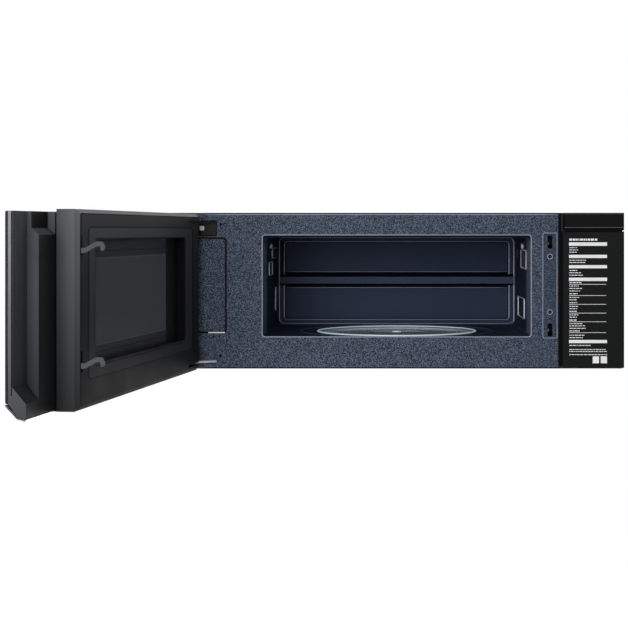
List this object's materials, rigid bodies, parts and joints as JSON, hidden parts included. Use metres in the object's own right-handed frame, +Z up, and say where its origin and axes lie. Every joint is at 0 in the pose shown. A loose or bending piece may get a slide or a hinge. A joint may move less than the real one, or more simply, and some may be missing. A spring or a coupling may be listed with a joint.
{
  "type": "over the range microwave",
  "caption": "Slim over-the-range microwave on a wall bracket, wide dark door standing open on its left hinge, speckled oven with turntable, plain side column, filters below.",
  "frame": {"origin": "middle of the width and height of the body, on the face of the wall bracket that lies on the wall", "axes": "+X to the right as seen by a cook facing the oven, +Y out of the back into the wall, +Z up"},
  "size_m": [0.8542, 1.1816, 0.2655],
  "materials": {
    "zinc_steel": "bare zinc-coated sheet, dull",
    "black_painted_steel": "fine-textured black paint",
    "black_rubber": "matt",
    "speckled_enamel": "blue-grey baked enamel with a fine pale speckle, satin",
    "black_plastic": "fine matt texture",
    "mica_sheet": "pale mica sheet, silky",
    "fin_aluminium": "plain mill finish",
    "white_plastic": "plain, semi-matt",
    "grey_plastic": "plain, semi-matt",
    "lamp_lens": "frosted lens",
    "carbon_cassette": "black frame with charcoal grains",
    "core_iron": "varnished laminations",
    "winding_copper": "varnished copper wire",
    "circuit_board": "green lacquer",
    "tray_glass": "clear, polished",
    "filter_mesh": "layered aluminium mesh in a frame",
    "door_painted_steel": "dark grey satin paint",
    "screen_steel": "perforated sheet, black paint",
    "window_sheet": "tinted inner pane",
    "door_grey_plastic": "satin",
    "door_black_plastic": "satin",
    "front_dark_glass": "near-black glass sheet, polished",
    "bright_strip": "bright satin strip",
    "spring_steel": "bare spring wire"
  },
  "bodies": {
    "body": {"wall_bracket": "zinc_steel", "rear_panel": "zinc_steel", "rear_exhaust_cover": "zinc_steel", "outer_case": "black_painted_steel", "cord_grommet": "black_rubber", "base_panel": "black_painted_steel", "motor_access_plate": "black_painted_steel", "front_plate": "speckled_enamel", "compartment_front": "black_painted_steel", "side_column": "black_plastic", "column_cap": "black_plastic", "cavity_liner": "speckled_enamel", "waveguide_cover": "mica_sheet", "waveguide": "zinc_steel", "magnetron": "fin_aluminium", "oven_lamp": "white_plastic", "turntable_motor": "zinc_steel", "latch_body": "grey_plastic", "upper_switch": "black_plastic", "lower_switch": "black_plastic", "latch_screw_upper": "zinc_steel", "latch_screw_lower": "zinc_steel", "upper_hinge": "zinc_steel", "lower_hinge": "zinc_steel", "door_buffer": "white_plastic", "left_cooktop_lamp": "lamp_lens", "right_cooktop_lamp": "lamp_lens", "charcoal_filter": "carbon_cassette", "blower_housing": "zinc_steel", "blower_motor": "core_iron", "transformer_core": "core_iron", "primary_winding": "winding_copper", "secondary_winding": "winding_copper", "capacitor": "fin_aluminium", "control_board": "circuit_board", "fan_frame": "black_plastic", "fan_motor": "core_iron"},
    "door": {"door_frame": "door_painted_steel", "screen_panel": "screen_steel", "inner_window": "window_sheet", "choke_cover": "door_grey_plastic", "door_shell": "door_black_plastic", "front_glass": "front_dark_glass", "control_strip": "bright_strip", "display_board": "circuit_board", "key_spring": "spring_steel"},
    "key": {"door_key": "grey_plastic"},
    "coupler": {"tray_coupler": "white_plastic"},
    "ring": {"roller_ring": "grey_plastic"},
    "roller_a": {"ring_roller_a": "white_plastic"},
    "roller_b": {"ring_roller_b": "white_plastic"},
    "roller_c": {"ring_roller_c": "white_plastic"},
    "tray": {"glass_tray": "tray_glass"},
    "upper_button": {"upper_switch_button": "white_plastic"},
    "lower_button": {"lower_switch_button": "white_plastic"},
    "left_filter": {"left_grease_filter": "filter_mesh"},
    "right_filter": {"right_grease_filter": "filter_mesh"},
    "blower": {"blower_wheel": "grey_plastic"},
    "fan": {"fan_blades": "grey_plastic"}
  },
  "joints": [
    {"name": "door_hinge", "type": "hinge", "parent": "body", "child": "door", "pos_m": [-0.3645, -0.4423, 0], "axis": [0, 0, 1], "range_deg": [0, 97]},
    {"name": "key_lift", "type": "slide", "parent": "door", "child": "key", "axis": [0, 0, 1], "range_m": [0, 0.004], "stiffness_N_per_m": 300, "springref_m": -0.006, "deforming": ["key_spring"]},
    {"name": "upper_switch_press", "type": "slide", "parent": "body", "child": "upper_button", "axis": [0, 1, 0], "range_m": [0, 0.0015], "stiffness_N_per_m": 250, "springref_m": -0.002},
    {"name": "lower_switch_press", "type": "slide", "parent": "body", "child": "lower_button", "axis": [0, 1, 0], "range_m": [0, 0.0015], "stiffness_N_per_m": 250, "springref_m": -0.002},
    {"name": "tray_spin", "type": "hinge", "parent": "body", "child": "coupler", "pos_m": [0, -0.215, -0.09], "axis": [0, 0, 1], "continuous": true},
    {"name": "tray_lift", "type": "slide", "parent": "coupler", "child": "tray", "axis": [0, 0, 1], "range_m": [0, 0.03]},
    {"name": "ring_spin", "type": "hinge", "parent": "body", "child": "ring", "pos_m": [0, -0.215, -0.0905], "axis": [0, 0, 1], "continuous": true},
    {"name": "roller_a_spin", "type": "hinge", "parent": "ring", "child": "roller_a", "pos_m": [0.0866, -0.165, -0.0905], "axis": [0.866, 0.5, 0], "continuous": true},
    {"name": "roller_b_spin", "type": "hinge", "parent": "ring", "child": "roller_b", "pos_m": [-0.0866, -0.165, -0.0905], "axis": [-0.866, 0.5, 0], "continuous": true},
    {"name": "roller_c_spin", "type": "hinge", "parent": "ring", "child": "roller_c", "pos_m": [0, -0.315, -0.0905], "axis": [0, -1, 0], "continuous": true},
    {"name": "blower_spin", "type": "hinge", "parent": "body", "child": "blower", "pos_m": [-0.32, -0.225, 0.005], "axis": [1, 0, 0], "continuous": true},
    {"name": "fan_spin", "type": "hinge", "parent": "body", "child": "fan", "pos_m": [0.305, -0.041, 0.055], "axis": [0, 1, 0], "continuous": true},
    {"name": "left_filter_drop", "type": "slide", "parent": "body", "child": "left_filter", "axis": [0, 0, -1], "range_m": [0, 0.1]},
    {"name": "right_filter_drop", "type": "slide", "parent": "body", "child": "right_filter", "axis": [0, 0, -1], "range_m": [0, 0.1]}
  ],
  "couplings": [
    {"joint": "ring_spin", "follows": "tray_spin", "ratio": 0.5},
    {"joint": "roller_a_spin", "follows": "tray_spin", "ratio": -8.3333},
    {"joint": "roller_b_spin", "follows": "tray_spin", "ratio": -8.3333},
    {"joint": "roller_c_spin", "follows": "tray_spin", "ratio": -8.3333}
  ]
}
